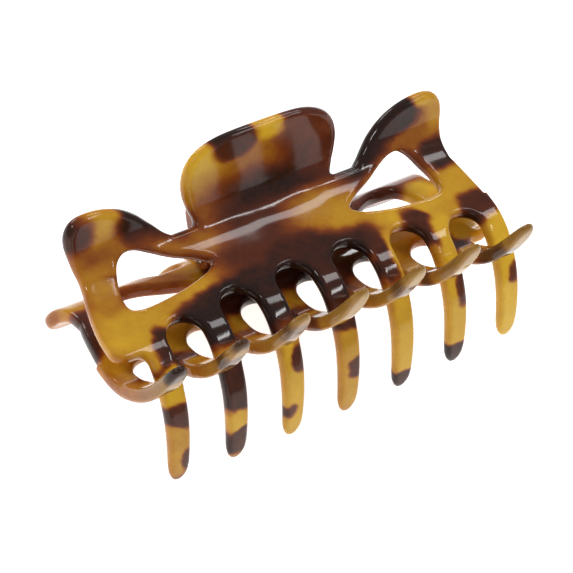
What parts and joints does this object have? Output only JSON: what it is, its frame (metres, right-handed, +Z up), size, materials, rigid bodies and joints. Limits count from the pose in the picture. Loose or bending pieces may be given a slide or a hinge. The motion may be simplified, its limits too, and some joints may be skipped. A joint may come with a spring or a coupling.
{
  "type": "hair claw clip",
  "caption": "Hair claw clip: two moulded jaws with interlocking curved teeth, thumb tabs and cut-out ears, turning on a sprung hinge pin.",
  "frame": {"origin": "centre of the bounding box's footprint, on the surface the clip lies on", "axes": "+X along the hinge pin and the row of teeth, +Y from the teeth towards the thumb tabs, +Z up, away from the surface under the rear jaw"},
  "size_m": [0.0812, 0.0422, 0.0413],
  "materials": {
    "front_jaw": "polished tortoiseshell, amber with dark brown patches",
    "rear_jaw": "polished tortoiseshell, amber with dark brown patches",
    "hinge_pin": "bright drawn steel with riveted ends",
    "torsion_spring": "bright spring wire"
  },
  "bodies": {
    "rear": {"rear_jaw": "rear_jaw", "hinge_pin": "hinge_pin", "torsion_spring": "torsion_spring"},
    "front": {"front_jaw": "front_jaw"}
  },
  "joints": [
    {"name": "jaw_hinge", "type": "hinge", "parent": "rear", "child": "front", "pos_m": [0, 0.01078, 0.02021], "axis": [-1, 0, 0], "range_deg": [0, 90], "stiffness_Nm_per_rad": 0.05, "springref_deg": -51.57, "deforming": ["torsion_spring"]}
  ]
}
